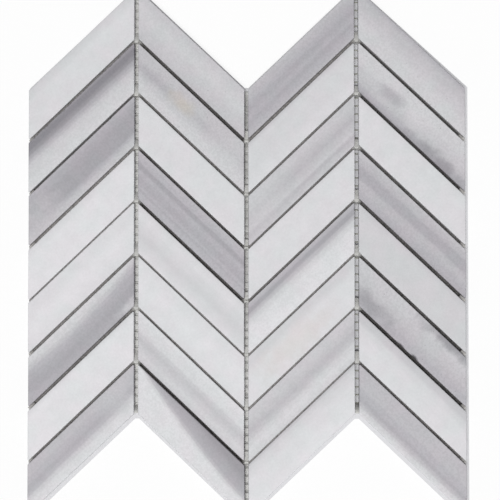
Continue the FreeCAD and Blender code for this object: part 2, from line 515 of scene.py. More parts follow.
@dataclass(frozen=True)
class HonedMarble:
    """Banded white marble, sawn to strips and honed on the face.

    Honing leaves a dull sheen over soft grey bands that run with the strip, and a sugary
    crystal grain. The sawn sides stay matt, with the saw's lines. Down in the slanted joints
    they hold a brown film of adhesive that is also painted shade, darker towards the bottom.
    Sizes of noise run along the stone, across it and up.

    Attributes:
        hone: Roughness of the honed face.
        sawn: Roughness of the sawn sides.
        ior: Index of refraction.
        ripple_mm: Size of the waves that the bands wander in.
        streak_mm: Size of the hair lines.
        mottle_mm: Size of the mottling.
        tint_mm: Size of the faint warm and cool patches.
        crystal_mm: Size of the grain. Real crystals are a third of this, too fine to show.
        saw_mm: Size of the saw's lines on the sides.
        streak_sway: How far the hair lines fray the bands, as a share of the stone's width.
        streak_shade: How much the hair lines tell beside the mottling.
        grain_shade: How much the grain tells beside the mottling.
        shade_span: Span of the mottling that is drawn.
        shade: How dark and how light it makes the stone.
        tints: The patches' colours, and where on their noise each is full.
        cloud_fray: How far the mottling frays a cloud, in shares of its reach.
        cloud_edge: Shares of its reach between which a cloud thins out.
        speck: Colour of the mica specks.
        speck_mm: Spacing of the specks.
        speck_edge: Shares of the spacing between which a speck thins out.
        crystal_relief: Height of the crystals, as a share of the saw's lines.
        relief: Strength of the relief, up to 1, and its height in mm.
        side_span: Upward parts of the surface's direction between which side turns to face.
        end_span: Level parts of the surface's direction between which long side turns to end.
        outer_span: Outward parts of it between which the film on the sheet's outer sides ends.
        film: Colour of the film, which is also painted shade.
        film_depth_mm: How far below the face the film is at its full strength.
        film_and_shade_cover: How much the film and its painted shade cover there and at the face.
    """

    hone: float = 0.5
    sawn: float = 0.8
    ior: float = 1.5
    ripple_mm: Point = (45.0, 14.0, 20.0)
    streak_mm: Point = (60.0, 1.2, 8.0)
    mottle_mm: Point = (9.0, 9.0, 9.0)
    tint_mm: Point = (14.0, 14.0, 14.0)
    crystal_mm: Point = (1.3, 1.3, 1.3)
    saw_mm: Point = (12.0, 12.0, 0.7)
    streak_sway: float = 0.12
    streak_shade: float = 0.6
    grain_shade: float = 4.0
    shade_span: Flat = (0.2, 0.8)
    shade: Flat = (0.95, 1.05)
    tints: tuple[tuple[float, str], ...] = ((0.3, "fffcfe"), (0.7, "fbfdfd"))
    cloud_fray: float = 1.8
    cloud_edge: Flat = (0.1, 1.2)
    speck: str = "6f6d72"
    speck_mm: float = 3.2
    speck_edge: Flat = (0.06, 0.18)
    crystal_relief: float = 0.03
    relief: Flat = (0.6, 0.15)
    side_span: Flat = (0.1, 0.5)
    end_span: Flat = (0.75, 0.95)
    outer_span: Flat = (0.0, 0.3)
    film: str = "7d7468"
    film_depth_mm: float = 5.0
    film_and_shade_cover: Flat = (0.35, 0.05)

    def material(self, stone: "Stone") -> bpy.types.Material:
        """Draws one stone's figure.

        Args:
            stone: The stone.

        Returns:
            The material.
        """
        made, tree = empty_material(f"marble_honed_{stone.label}")
        drawing = MarbleDrawing(tree, self, stone)
        side = drawing.sides()
        roughness = add_node(tree, "MapRange", {"Value": side, "To Min": self.hone, "To Max": self.sawn})
        colour = drawing.filmed_and_shaded(drawing.coloured(), side)
        close_surface(tree, colour, roughness, self.ior, drawing.height(side), self.relief)
        return made


@dataclass
class MarbleDrawing:
    """The nodes that draw one stone's figure.

    Attributes:
        tree: The node tree to add to.
        marble: The finish.
        stone: The stone, whose own axes run along it, across it and up.
    """

    tree: Tree
    marble: HonedMarble
    stone: "Stone"

    def __post_init__(self) -> None:
        """Finds the place on the stone's axes in mm, and the noises that are wanted more than once."""
        marble, seed = self.marble, self.stone.seed
        coordinates = add_node(self.tree, "TexCoord").node.outputs
        self.normal = add_node(self.tree, "SeparateXYZ", {0: coordinates["Normal"]}).node.outputs
        scaled = add_node(
            self.tree, "VectorMath", {0: coordinates["Object"], "Scale": 1 / MM}, operation="SCALE"
        )
        self.place = add_node(
            self.tree, "VectorRotate", {"Vector": scaled, "Angle": -self.stone.turn}, rotation_type="Z_AXIS"
        )
        self.axes = add_node(self.tree, "SeparateXYZ", {0: self.place}).node.outputs
        self.hairs = self.lumps(marble.streak_mm, seed + 0.3, 3.0)
        self.mottle = self.lumps(marble.mottle_mm, seed + 0.6, 4.0)
        self.grain = self.lumps(marble.crystal_mm, seed + 0.9, 1.0)

    def lumps(self, size: Point, seed: float, detail: float) -> Socket:
        """Makes noise whose lumps have a real size along each axis of the stone.

        Args:
            size: Size of a lump in mm, along, across and up.
            seed: What sets one noise apart from the next.
            detail: How many finer layers it has.

        Returns:
            The noise, about 0.5.
        """
        shares = tuple(1 / length for length in size)
        scaled = add_node(self.tree, "VectorMath", {0: self.place, 1: shares}, operation="MULTIPLY")
        sockets = {"Vector": scaled, "W": seed, "Scale": 1.0, "Detail": detail}
        return add_node(self.tree, "TexNoise", sockets, noise_dimensions="4D")

    def swayed(self, base: Socket, by: Socket, sway: float, offset: float = 0.0) -> Socket:
        """Moves a value to and fro with a noise about 0.5, by a sway for the noise's whole range."""
        share = add_node(self.tree, "Math", {0: by, 1: sway, 2: offset - sway / 2}, operation="MULTIPLY_ADD")
        return add_node(self.tree, "Math", {0: base, 1: share}, operation="ADD")

    def spotted(self, colour: Socket, distance: Socket, edge: Flat, strength: float, spot: str) -> Socket:
        """Lays soft spots of one colour over another.

        Args:
            colour: The colour underneath.
            distance: How far it is to the middle of a spot.
            edge: Distances between which a spot thins out.
            strength: How much a spot covers, up to 1.
            spot: The spots' colour in hex digits.

        Returns:
            The colour with the spots on it.
        """
        thinning = passage(distance, edge, (strength, 0.0))
        cover = add_node(self.tree, "MapRange", thinning, interpolation_type="SMOOTHSTEP")
        sockets = {MIX_FACTOR: cover, MIX_A: colour, MIX_B: linear(spot)}
        return add_node(self.tree, "Mix", sockets, MIX_RESULT, data_type="RGBA")

    def banded(self) -> Socket:
        """Draws the bands across the stone, which drift, bow, wander and fray.

        Returns:
            Their colour.
        """
        stone, figure = self.stone, self.stone.figure
        slope = (figure.drift / stone.width, 1 / stone.width, 0.0)
        level = add_node(self.tree, "VectorMath", {0: self.place, 1: slope}, "Value", operation="DOT_PRODUCT")
        if figure.bow:
            along = self.axes["X"]
            squared = add_node(self.tree, "Math", {0: along, 1: along}, operation="MULTIPLY")
            bend = figure.bow / stone.half_length ** 2 / stone.width
            level = add_node(self.tree, "Math", {0: squared, 1: bend, 2: level}, operation="MULTIPLY_ADD")
        waves = self.lumps(self.marble.ripple_mm, stone.seed, 2.0)
        level = self.swayed(level, waves, 2 * figure.ripple / stone.width, offset=0.5)
        level = self.swayed(level, self.hairs, self.marble.streak_sway * figure.streaks)
        colour = add_node(self.tree, "ValToRGB", {"Fac": level})
        fill_ramp(colour, [(share, tone.value) for share, tone in figure.bands], "EASE")
        return colour

    def reach(self, cloud: Cloud) -> Socket:
        """Measures how far it is to the middle of a cloud, in shares of its frayed reach.

        Args:
            cloud: The cloud.

        Returns:
            The distance.
        """
        middle = (cloud.along, cloud.across, 0.0)
        shares = (1 / cloud.length, 1 / cloud.breadth, 0.0)
        centred = add_node(self.tree, "VectorMath", {0: self.place, 1: middle}, operation="SUBTRACT")
        scaled = add_node(self.tree, "VectorMath", {0: centred, 1: shares}, operation="MULTIPLY")
        distance = add_node(self.tree, "VectorMath", {0: scaled}, "Value", operation="LENGTH")
        return self.swayed(distance, self.mottle, self.marble.cloud_fray)

    def coloured(self) -> Socket:
        """Lays the clouds, specks, mottling, grain and tints over the bands.

        Returns:
            The stone's own colour.
        """
        marble, stone, figure = self.marble, self.stone, self.stone.figure
        colour = self.banded()
        for cloud in figure.clouds:
            distance = self.reach(cloud)
            colour = self.spotted(colour, distance, marble.cloud_edge, cloud.strength, cloud.tone.value)
        if figure.specks:
            sockets = {"Vector": self.place, "W": stone.seed, "Scale": 1 / marble.speck_mm}
            distance = add_node(self.tree, "TexVoronoi", sockets, "Distance", voronoi_dimensions="4D")
            colour = self.spotted(colour, distance, marble.speck_edge, figure.specks, marble.speck)
        shade = self.swayed(self.mottle, self.hairs, marble.streak_shade * figure.streaks)
        shade = self.swayed(shade, self.grain, marble.grain_shade * figure.grain)
        value = add_node(self.tree, "MapRange", passage(shade, marble.shade_span, marble.shade))
        colour = add_node(self.tree, "HueSaturation", {"Value": value, "Color": colour})
        tint = add_node(self.tree, "ValToRGB", {"Fac": self.lumps(marble.tint_mm, stone.seed + 1.2, 1.0)})
        fill_ramp(tint, marble.tints, "EASE")
        sockets = {MIX_FACTOR: 1.0, MIX_A: colour, MIX_B: tint}
        return add_node(self.tree, "Mix", sockets, MIX_RESULT, data_type="RGBA", blend_type="MULTIPLY")

    def sides(self) -> Socket:
        """Tells the sawn sides from the honed face: 1 on the sides and 0 on the face."""
        return add_node(self.tree, "MapRange", passage(self.normal["Z"], self.marble.side_span, (1.0, 0.0)))

    def joint_sides(self, side: Socket) -> Socket:
        """Tells the long sides in the joints from the ends and from the sheet's own foot and head.

        Args:
            side: 1 on the sides and ends, and 0 on the face.

        Returns:
            1 on the long sides in the joints, and 0 elsewhere.
        """
        level = add_node(self.tree, "Math", {0: self.normal["X"]}, operation="ABSOLUTE")
        long_side = add_node(self.tree, "MapRange", passage(level, self.marble.end_span, (side, 0.0)))
        sockets = {0: self.normal["Y"], 1: float(self.stone.outer)}
        outward = add_node(self.tree, "Math", sockets, operation="MULTIPLY")
        return add_node(self.tree, "MapRange", passage(outward, self.marble.outer_span, (long_side, 0.0)))

    def filmed_and_shaded(self, colour: Socket, side: Socket) -> Socket:
        """Spreads the brown film of adhesive, also painted shade, on the lower part of the long sides in the
        slanted joints.

        Args:
            colour: The stone's colour.
            side: 1 on the sides and ends, and 0 on the face.

        Returns:
            The colour with the film on it.
        """
        marble, face = self.marble, self.stone.thickness
        span = (face - marble.film_depth_mm, face)
        # Painted shade: the film grows stronger towards the bottom of the joint.
        depth = add_node(self.tree, "MapRange", passage(self.axes["Z"], span, marble.film_and_shade_cover))
        cover = add_node(self.tree, "Math", {0: depth, 1: self.joint_sides(side)}, operation="MULTIPLY")
        sockets = {MIX_FACTOR: cover, MIX_A: colour, MIX_B: linear(marble.film)}
        return add_node(self.tree, "Mix", sockets, MIX_RESULT, data_type="RGBA")

    def height(self, side: Socket) -> Socket:
        """Raises the saw's lines on the sides, and a trace of the crystals on the face.

        Args:
            side: 1 on the sides and 0 on the face.

        Returns:
            Height of the relief.
        """
        lines = self.lumps(self.marble.saw_mm, 0.0, 2.0)
        sawn = add_node(self.tree, "Math", {0: lines, 1: side}, operation="MULTIPLY")
        sockets = {0: self.grain, 1: self.marble.crystal_relief, 2: sawn}
        return add_node(self.tree, "Math", sockets, operation="MULTIPLY_ADD")


@dataclass(frozen=True)
class CoatedGlassYarn:
    """Glass-fibre yarn, woven to an open net and dipped in a milky binder.

    The binder dulls the glass to a grey-green white, partly painted shade, and the filaments
    still show as fine lines along each yarn, with painted shade in the hollows between them.

    Attributes:
        glass_and_hollow_shade: Colours of the hollows between filaments, which are painted shade, and of the
            glass, and where each is full.
        roughness: Roughness of the binder.
        ior: Index of refraction.
        filament_mm: Spacing of the bundles of filaments, drawn coarser than the real ones.
        slender: How many times longer than wide the bundles are drawn.
        relief: Strength of the relief, up to 1, and its height in mm.
    """

    glass_and_hollow_shade: tuple[tuple[float, str], ...] = ((0.35, "96968c"), (0.6, "b6b6ac"))
    roughness: float = 0.55
    ior: float = 1.5
    filament_mm: float = 0.2
    slender: float = 20.0
    relief: Flat = (0.5, 0.05)

    def material(self, name: str, along_x: bool) -> bpy.types.Material:
        """Draws the filaments along one set of yarns.

        Args:
            name: The material's name.
            along_x: True where the yarns run along X, and not along Y.

        Returns:
            The material.
        """
        made, tree = empty_material(name)
        fine = 1 / (self.filament_mm * MM)
        coarse = fine / self.slender
        shares = (coarse, fine, fine) if along_x else (fine, coarse, fine)
        place = add_node(tree, "TexCoord", output="Object")
        scaled = add_node(tree, "VectorMath", {0: place, 1: shares}, operation="MULTIPLY")
        lines = add_node(tree, "TexNoise", {"Vector": scaled, "Scale": 1.0, "Detail": 2.0})
        # Painted shade: the hollows of the relief are drawn darker.
        colour = add_node(tree, "ValToRGB", {"Fac": lines})
        fill_ramp(colour, self.glass_and_hollow_shade)
        close_surface(tree, colour, self.roughness, self.ior, lines, self.relief)
        return made


@dataclass(frozen=True)
class SetAdhesive:
    """White dispersion adhesive, pressed up into the joints and set.

    It dries milky, with a soft shine, and a little uneven where dust has stuck to it. Towards
    the bottom of a joint it is drawn darker, as painted shade.

    Attributes:
        name: The material's name.
        clear: Colour where it is clean.
        dusty: Colour where dust has stuck to it.
        spread: Where on the noise of its lumps the dust and the clean adhesive are full.
        roughness: Roughness of its skin.
        ior: Index of refraction.
        lump_mm: Size of its lumps.
        joint_shade: How light it stays at the bottom of a joint, as a share: painted shade.
        joint_shade_mm: Heights above the bench between which that painted shade thins out.
        relief: Strength of the relief, up to 1, and its height in mm.
    """

    name: str = "adhesive_white_set"
    clear: str = "cdcdca"
    dusty: str = "c3c2be"
    spread: Flat = (0.35, 0.6)
    roughness: float = 0.4
    ior: float = 1.47
    lump_mm: float = 1.6
    joint_shade: float = 1.0
    joint_shade_mm: Flat = (1.6, 4.6)
    relief: Flat = (0.2, 0.1)

    def material(self) -> bpy.types.Material:
        """Draws the adhesive.

        Returns:
            The material.
        """
        made, tree = empty_material(self.name)
        place = add_node(tree, "TexCoord", output="Object")
        lumps = add_node(tree, "TexNoise", {"Vector": place, "Scale": 1 / (self.lump_mm * MM), "Detail": 3.0})
        milky = add_node(tree, "ValToRGB", {"Fac": lumps})
        fill_ramp(milky, tuple(zip(self.spread, (self.dusty, self.clear))))
        height = add_node(tree, "SeparateXYZ", {0: place}, "Z")
        span = (self.joint_shade_mm[0] * MM, self.joint_shade_mm[1] * MM)
        # Painted shade: darker towards the bottom of the joint.
        clean = add_node(tree, "MapRange", passage(height, span, (self.joint_shade, 1.0)))
        colour = add_node(tree, "HueSaturation", {"Value": clean, "Color": milky})
        close_surface(tree, colour, self.roughness, self.ior, lumps, self.relief)
        return made


@dataclass(frozen=True)
class Rim:
    """A place on a stone's outline.

    Attributes:
        point: Where it is, in mm from the stone's centre.
        inward: The direction into the stone.
        side: +1 on the upper edge, -1 on the lower edge and 0 on the ends and corners.
        room: The largest arris that fits here, in mm.
    """

    point: Flat
    inward: Flat
    side: int
    room: float

    def inset(self, distance: float) -> Flat:
        """Gives the place that lies a distance inside the outline."""
        return self.point[0] + distance * self.inward[0], self.point[1] + distance * self.inward[1]


@dataclass
class Stone:
    """One sawn stone, on its own axes: along it, across it and up.

    Attributes:
        column: The stone's column from the left, from 0.
        row: The stone's row from the foot, from 0.
        upper_mm: How far the upper edge was sawn beyond its line, measured upright.
        lower_mm: How far the lower edge was sawn beyond its line, measured upright.
        arris_mm: Radius of the eased edge round the face.
        arris_drift: How much that radius varies, as a share, and in how many waves for each mm.
        chip_drift: How much a chip's depth varies along it, likewise.
        chip_depths: Least and most of a chip's depth, as shares of the deepest, before they are squared.
        chip_mm: Half the width of a chip without depth.
        chip_widths: Least and most that half the width grows by, as shares of the depth.
        back_mm: Bevel round the back.
        acute_mm: Radius of the sharp corners, seen from above.
        obtuse_mm: Radius of the blunt corners, seen from above.
        corner_room: Share of a corner's radius that the arris may take up.
        step_mm: Spacing of the places on the outline.
        arris_steps: Steps round the eased edge.
        corner_steps: Steps round a corner.
        thin_mm: How much thinner than the thickest a stone may be.
        turn_deg: How far out of true a stone may be laid.
        shift_mm: How far from its place a stone may be laid.
        sharp_deg: Angle from which on an edge is drawn sharp.
    """

    column: int
    row: int
    upper_mm: float = 0.0
    lower_mm: float = 0.0
    arris_mm: float = 0.45
    arris_drift: Flat = (0.25, 0.3)
    chip_drift: Flat = (0.5, 1.7)
    chip_depths: Flat = (0.25, 1.0)
    chip_mm: float = 0.5
    chip_widths: Flat = (0.8, 2.0)
    back_mm: float = 0.2
    acute_mm: float = 0.6
    obtuse_mm: float = 1.2
    corner_room: float = 0.85
    step_mm: float = 0.7
    arris_steps: int = 4
    corner_steps: int = 5
    thin_mm: float = 0.15
    turn_deg: float = 0.1
    shift_mm: float = 0.12
    sharp_deg: float = 40.0

    def __post_init__(self) -> None:
        """Reads the stone's place and size from the frame."""
        self.label = f"col{self.column + 1}_row{self.row + 1}"
        self.node = f"stone_{self.label}"
        self.figure = FIGURES[self.column][ROWS - 1 - self.row]
        self.seed = 10.0 * self.column + 1.7 * self.row
        self.rng = random.Random(100 * self.column + self.row)
        low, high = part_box(self.node)
        self.centre = (Vector(low) + Vector(high)) / 2
        self.base = low[2] / MM
        self.thickness = (high[2] - low[2]) / MM
        self.reach = (high[0] - low[0]) / MM
        self.upright = (high[1] - low[1]) / MM - self.reach * math.tan(SLANT)
        self.width = self.upright * math.cos(SLANT)
        self.half_length = self.reach / math.cos(SLANT) / 2
        self.turn = SLANT if self.column % 2 == 0 else -SLANT
        self.outer = {0: -1, ROWS - 1: 1}.get(self.row, 0)

    def corners(self) -> list[Vector]:
        """Gives the parallelogram's corners, from the lower left one round to the left.

        Returns:
            Four places on the stone's own axes, in mm.
        """
        made = []
        for side, up in ((-1, -1), (1, -1), (1, 1), (-1, 1)):
            x = side * self.reach / 2
            beyond = self.upper_mm if up > 0 else self.lower_mm
            y = x * math.tan(self.turn) + up * (self.upright / 2 + beyond)
            along = x * math.cos(self.turn) + y * math.sin(self.turn)
            across = y * math.cos(self.turn) - x * math.sin(self.turn)
            made.append(Vector((along, across)))
        return made

    def corner_radius(self, half: float) -> float:
        """Gives the radius of a corner with half a given angle."""
        return self.acute_mm if half < math.pi / 4 else self.obtuse_mm

    def outline(self) -> list[Rim]:
        """Walks round the stone, along its edges and round its corners.

        Returns:
            Places on the outline, one after another.
        """
        corners = self.corners()
        rims: list[Rim] = []
        for number, corner in enumerate(corners):
            follower = corners[(number + 1) % 4]
            before = (corner - corners[number - 1]).normalized()
            after = (follower - corner).normalized()
            half = (math.pi - before.angle(after)) / 2
            radius = self.corner_radius(half)
            middle = corner + (after - before).normalized() * radius / math.sin(half)
            start = math.atan2(-before.x, before.y)
            for step in range(self.corner_steps + 1):
                angle = start + (math.pi - 2 * half) * step / self.corner_steps
                outward = Vector((math.cos(angle), math.sin(angle)))
                spot = middle + outward * radius
                rims.append(Rim(tuple(spot), tuple(-outward), 0, self.corner_room * radius))
            next_half = math.pi / 2 - half
            run_start = corner + after * radius / math.tan(half)
            run_end = follower - after * self.corner_radius(next_half) / math.tan(next_half)
            side = {0: -1, 2: 1}.get(number, 0)
            count = math.ceil((run_end - run_start).length / self.step_mm)
            for step in range(1, count):
                spot = run_start.lerp(run_end, step / count)
                rims.append(Rim(tuple(spot), (-after.y, after.x), side, self.width / 2))
        return rims

    def chips(self, wear: Wear) -> list[Point]:
        """Scatters chips along one edge.

        Args:
            wear: How the edge came off the saw.

        Returns:
            Place along the edge, half width and depth of each chip, in mm.
        """
        per_100_mm, deepest = wear.value
        made = []
        for _ in range(round(per_100_mm * 2 * self.half_length / 100)):
            depth = deepest * self.rng.uniform(*self.chip_depths) ** 2
            place = self.rng.uniform(-self.half_length, self.half_length)
            made.append((place, self.chip_mm + depth * self.rng.uniform(*self.chip_widths), depth))
        return made

    def arrises(self, rims: list[Rim]) -> list[float]:
        """Works out how far each place on the outline is eased.

        Args:
            rims: The places.

        Returns:
            A radius in mm for each place.
        """
        chips = {
            -1: self.chips(self.figure.lower) + list(self.figure.breaks),
            0: [],
            1: self.chips(self.figure.upper),
        }
        radii = []
        for rim in rims:
            x, y = rim.point
            eased, ragged = (
                1 + spread * noise.noise((x * waves, y * waves, self.seed))
                for spread, waves in (self.arris_drift, self.chip_drift)
            )
            radius = self.arris_mm * eased
            for place, half_width, depth in chips[rim.side]:
                share = abs(x - place) / half_width
                if share < 1:
                    radius = max(radius, self.arris_mm + depth * ragged * (1 - share ** 2))
            radii.append(min(radius, rim.room))
        return radii

    def inside(self, ring: list[Point]) -> Faces:
        """Fills a closed ring of points, which may be chipped, with triangles.

        Args:
            ring: The points in order, anticlockwise as seen from above.

        Returns:
            Triangles that look up, as numbers of the points.
        """
        places = [Vector(point[:2]) for point in ring]
        outline = [list(range(len(ring)))]
        _, _, faces, sources, _, _ = delaunay_2d_cdt(places, [], outline, INSIDE_OUTLINE, 0.0)
        return [tuple(sources[at][0] for at in face) for face in faces]

    def build(self) -> Piece:
        """Makes the stone: its back, its sawn sides, its eased edge and its face.

        Returns:
            The piece, in place.
        """
        rims = self.outline()
        radii = self.arrises(rims)
        top = self.thickness - self.rng.uniform(0.0, self.thin_mm)
        points: list[Point] = []
        for distance, height in ((self.back_mm, 0.0), (0.0, self.back_mm)):
            points += [(*rim.inset(distance), height) for rim in rims]
        for step in range(self.arris_steps + 1):
            angle = math.pi / 2 * step / self.arris_steps
            for rim, radius in zip(rims, radii):
                height = top - radius * (1 - math.sin(angle))
                points.append((*rim.inset(radius * (1 - math.cos(angle))), height))
        count = len(rims)
        last = len(points) - count
        faces = [tuple(reversed(face)) for face in self.inside(points[:count])]
        faces += [tuple(last + at for at in face) for face in self.inside(points[last:])]
        flat = len(faces)
        faces += walls(0, count, len(points) // count)
        piece = mesh_object(f"marble_{self.label}", self.laid(points), faces)
        piece.location = (self.centre.x, self.centre.y, self.base * MM)
        bpy.context.view_layer.update()
        piece.data.set_sharp_from_angle(angle=math.radians(self.sharp_deg))
        for polygon in piece.data.polygons[:flat]:
            polygon.use_smooth = False
        return piece

    def laid(self, points: list[Point]) -> list[Point]:
        """Turns a stone to its slant and shifts it a little, as truly as a hand lays it.

        Args:
            points: The stone on its own axes.

        Returns:
            The stone on the sheet's axes, about its own centre.
        """
        turn = self.turn + math.radians(self.rng.uniform(-self.turn_deg, self.turn_deg))
        shift_x = self.rng.uniform(-self.shift_mm, self.shift_mm)
        shift_y = self.rng.uniform(-self.shift_mm, self.shift_mm)
        cos, sin = math.cos(turn), math.sin(turn)
        return [(x * cos - y * sin + shift_x, x * sin + y * cos + shift_y, z) for x, y, z in points]

    def dress(self, piece: Piece) -> None:
        """Gives the stone its marble and hands it to the frame."""
        piece.data.materials.append(HonedMarble().material(self))
        settle(piece, self.node)


class Layout:
    """Where the columns and joints are, as the stones' boxes in the frame give it, in mm."""

    def __init__(self) -> None:
        """Takes the stones, column by column and from the foot up."""
        self.stones = [[Stone(column, row) for row in range(ROWS)] for column in range(COLUMNS)]
        first = self.stones[0][0]
        self.left = [column[0].centre.x / MM - first.reach / 2 for column in self.stones]
        self.right = [left + first.reach for left in self.left]
        self.rise = first.reach * math.tan(SLANT)
        self.row_pitch = (self.stones[0][1].centre.y - first.centre.y) / MM
        self.height = (ROWS - 1) * self.row_pitch + first.upright
        self.foot = first.centre.y / MM - (self.rise + first.upright) / 2
        self.base = first.base
        self.face = first.base + first.thickness
        self.half_gap = (self.left[1] - self.right[0]) / 2
        self.half_slot = (self.row_pitch - first.upright) * math.cos(SLANT) / 2
        for stones, joints in zip(self.stones, JOINTS):
            for joint, below, above in zip(joints, stones[-2::-1], stones[:0:-1]):
                below.upper_mm = above.lower_mm = (self.half_slot - joint.gap / 2) / math.cos(SLANT)

    def joint(self, column: int, row: int) -> SlantJoint:
        """Gives the slanted joint on top of a row, which counts from 0 at the foot."""
        return JOINTS[column][ROWS - 2 - row]

    def gap_x(self, column: int) -> float:
        """Gives X of the middle of the upright joint on a column's right."""
        return self.right[column] + self.half_gap

    def foot_at(self, x: float) -> float:
        """Gives the height of the sheet's zigzag foot.

        Args:
            x: Place across the sheet.

        Returns:
            Y of the foot there.
        """
        column = sum(1 for left in self.left[1:] if x >= left - self.half_gap)
        inside = min(max(x, self.left[column]), self.right[column])
        climb = (inside - self.left[column]) * math.tan(SLANT)
        return self.foot + (climb if column % 2 == 0 else self.rise - climb)

    def joint_at(self, row: int, x: float) -> float:
        """Gives Y of the middle of the slanted joint on top of a row, at a place across the sheet."""
        return self.foot_at(x) + (row + 1) * self.row_pitch - self.half_slot / math.cos(SLANT)


@dataclass
class BackingNet:
    """The net that the stones are bonded to: upright warp and level weft, woven over and under.

    Attributes:
        layout: Where the stones are.
        warp_mm: Spacing of the warp. The middle joint lies between two of its yarns.
        weft_mm: Spacing of the weft.
        bow_mm: How far the weft bows up towards the middle of the sheet.
        width_mm: Width of a yarn.
        thickness_mm: Thickness of a yarn.
        lift: Share of the room over and under the yarns that their waves take up.
        setback_mm: How far inside the outline the net is cut off.
        stray_mm: How far a yarn strays from its line.
        stray_steps: Steps of the straying, from crossing to crossing and from yarn to yarn.
        stations: Places for each pitch along a yarn.
    """

    layout: Layout
    warp_mm: float = 5.1
    weft_mm: float = 5.6
    bow_mm: float = 1.4
    width_mm: float = 1.0
    thickness_mm: float = 0.28
    lift: float = 0.95
    setback_mm: float = 1.5
    stray_mm: float = 0.15
    stray_steps: Flat = (0.3, 3.1)
    stations: int = 4

    def holds(self, x: float, y: float) -> bool:
        """Tells whether a place is inside the line that the net is cut along.

        Args:
            x: Place across the sheet.
            y: Place up the sheet.

        Returns:
            True inside the line.
        """
        margin = self.setback_mm / math.cos(SLANT)
        low = self.layout.foot_at(x) + margin
        high = low + self.layout.height - 2 * margin
        within = self.layout.left[0] + self.setback_mm < x < self.layout.right[-1] - self.setback_mm
        return within and low < y < high

    def wave(self, number: int, crossings: float, upward: int) -> float:
        """Gives Z of a yarn's middle after some crossings. Upward is +1 for the warp, -1 for the weft."""
        swing = self.lift * (self.layout.base - self.thickness_mm) / 2
        return self.layout.base / 2 + upward * (-1) ** number * swing * math.cos(math.pi * crossings)

    def bow(self, x: float) -> float:
        """Gives how far the weft is off its straight line, which it meets at the outer joints."""
        return self.bow_mm * math.cos(math.pi * x / (self.layout.right[-1] - self.layout.left[0]))

    def runs(self, number: int, along_x: bool) -> list[list[Point]]:
        """Follows one yarn across the sheet.

        Args:
            number: The yarn's number, from the middle one or the first one right of the middle.
            along_x: True for the weft.

        Returns:
            A list of points for each length of yarn that the cut leaves.
        """
        pitch = self.warp_mm if along_x else self.weft_mm
        half_count = math.ceil(self.layout.height / pitch) * self.stations
        along_step, yarn_step = self.stray_steps
        runs: list[list[Point]] = [[]]
        for station in range(-half_count, half_count + 1):
            crossings = station / self.stations
            strays = (crossings * along_step, number * yarn_step, 1.0 if along_x else 2.0)
            stray = self.stray_mm * noise.noise(strays)
            if along_x:
                x = (crossings + 0.5) * self.warp_mm
                y = number * self.weft_mm + self.bow(x) + stray
            else:
                x = (number + 0.5) * self.warp_mm + stray
                y = crossings * self.weft_mm + self.bow(x)
            if self.holds(x, y):
                runs[-1].append((x, y, self.wave(number, crossings, -1 if along_x else 1)))
            elif runs[-1]:
                runs.append([])
        shortest = self.stations + 1
        return [run for run in runs if len(run) > shortest]

    def section(self, middle: Point, along_x: bool) -> list[Point]:
        """Gives the flat section of a yarn.

        Args:
            middle: The middle of the yarn.
            along_x: True for the weft.

        Returns:
            Its corners.
        """
        x, y, z = middle
        made = []
        for side, up in ((-1, 0), (-0.5, -1), (0.5, -1), (1, 0), (0.5, 1), (-0.5, 1)):
            off, height = side * self.width_mm / 2, z + up * self.thickness_mm / 2
            made.append((x, y + off, height) if along_x else (x - off, y, height))
        return made

    def build(self, along_x: bool) -> Piece:
        """Makes one set of yarns as flat tubes.

        Args:
            along_x: True for the weft, and False for the warp.

        Returns:
            The piece, in place.
        """
        tubes = Tubes()
        most = math.ceil(self.layout.height / self.warp_mm)
        for number in range(-most, most + 1):
            for run in self.runs(number, along_x):
                tubes.add([self.section(middle, along_x) for middle in run])
        piece = mesh_object("net_yarn_weft" if along_x else "net_yarn_warp", tubes.points, tubes.faces)
        piece.data.shade_smooth()
        return piece

    def dress(self, piece: Piece, along_x: bool) -> None:
        """Gives a set of yarns its coated glass fibre and hands it to the frame.

        Args:
            piece: The yarns.
            along_x: True for the weft.
        """
        part = "weft" if along_x else "warp"
        piece.data.materials.append(CoatedGlassYarn().material(f"glass_fibre_coated_{part}", along_x))
        settle(piece, f"net_{part}")


